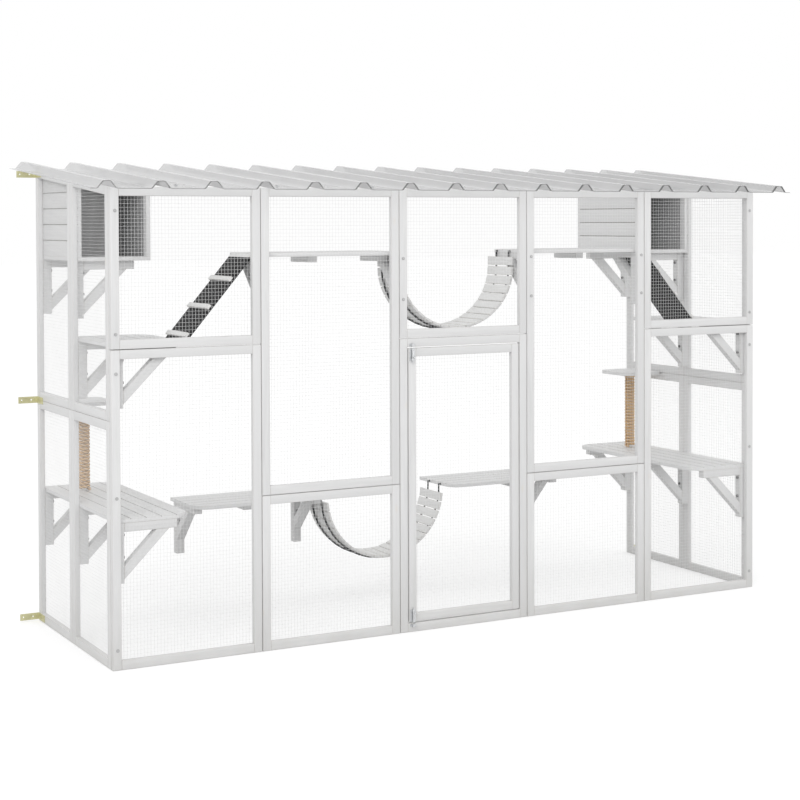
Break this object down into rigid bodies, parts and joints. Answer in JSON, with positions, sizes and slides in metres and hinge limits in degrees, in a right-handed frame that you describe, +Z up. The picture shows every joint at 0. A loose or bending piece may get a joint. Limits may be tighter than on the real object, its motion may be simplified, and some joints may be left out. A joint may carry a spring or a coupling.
{
  "type": "window box catio",
  "caption": "Lean-to cat enclosure of framed mesh bays with a clear ribbed roof, a hinged door, shelves, ramps, slatted bridges, wound posts and cat boxes.",
  "frame": {"origin": "middle of the bounding box, on the ground", "axes": "+X along the front to the right seen from outside, +Y from the front to the house wall, +Z up"},
  "size_m": [3.218, 1.0628, 1.9011],
  "materials": {
    "white_frame": "white opaque paint on planed softwood",
    "white_board": "white opaque paint on tongue-and-groove boards",
    "white_bracket": "white opaque paint on planed battens",
    "white_slat": "white paint, slightly worn",
    "mesh": "galvanised welded wire",
    "steel_fitting": "zinc-plated",
    "clear_sheet": "clear moulded sheet",
    "black_ramp": "black matt facing",
    "black_rope": "braided synthetic rope",
    "post_wood": "bare softwood",
    "sisal": "twisted natural fibre",
    "yellow_zinc": "yellow-passivated zinc",
    "dark_bolt": "dull dark plating"
  },
  "bodies": {
    "root": {"front_frame_1_low": "white_frame", "front_frame_1_high": "white_frame", "front_frame_2_low": "white_frame", "front_frame_2_high": "white_frame", "door_surround": "white_frame", "front_frame_3_high": "white_frame", "front_frame_4_low": "white_frame", "front_frame_4_high": "white_frame", "front_frame_5_low": "white_frame", "front_frame_5_high": "white_frame", "left_frame_front_low": "white_frame", "left_frame_front_high": "white_frame", "left_frame_rear_low": "white_frame", "left_frame_rear_high": "white_frame", "right_frame_front_low": "white_frame", "right_frame_front_high": "white_frame", "right_frame_rear_low": "white_frame", "right_frame_rear_high": "white_frame", "front_net": "mesh", "left_net": "mesh", "right_net": "mesh", "hinge_frame_plates": "steel_fitting", "hinge_pins": "steel_fitting", "bolt_keepers": "steel_fitting", "roof_sheet": "clear_sheet", "roof_screws": "steel_fitting", "left_cat_box": "white_board", "left_box_floor": "white_board", "right_cat_box": "white_board", "right_box_floor": "white_board", "left_platform": "white_board", "right_platform": "white_board", "left_mid_shelf": "white_board", "right_mid_shelf": "white_board", "left_high_shelf": "white_board", "right_high_shelf": "white_board", "left_low_shelf": "white_board", "right_low_shelf": "white_board", "left_perch": "white_board", "right_perch": "white_board", "left_brackets": "white_bracket", "right_brackets": "white_bracket", "front_brackets": "white_bracket", "wall_brackets": "white_bracket", "left_ramp": "black_ramp", "right_ramp": "black_ramp", "ramp_battens": "white_slat", "high_bridge_slats": "white_slat", "low_bridge_slats": "white_slat", "bridge_ropes": "black_rope", "post_cores": "post_wood", "post_windings": "sisal", "wall_angles": "yellow_zinc", "frame_bolts": "dark_bolt"},
    "door": {"door_leaf": "white_frame", "door_net": "mesh", "hinge_door_plates": "steel_fitting", "bolt_bodies": "steel_fitting"},
    "upper_bolt": {"upper_bolt_rod": "steel_fitting"},
    "lower_bolt": {"lower_bolt_rod": "steel_fitting"}
  },
  "joints": [
    {"name": "door_swing", "type": "hinge", "parent": "root", "child": "door", "pos_m": [0.2627, -0.38362, 0.5912], "axis": [0, 0, -1], "range_deg": [0, 110]},
    {"name": "upper_bolt_slide", "type": "slide", "parent": "door", "child": "upper_bolt", "axis": [0, 0, 1], "range_m": [0, 0.02]},
    {"name": "lower_bolt_slide", "type": "slide", "parent": "door", "child": "lower_bolt", "axis": [0, 0, -1], "range_m": [0, 0.02]}
  ]
}
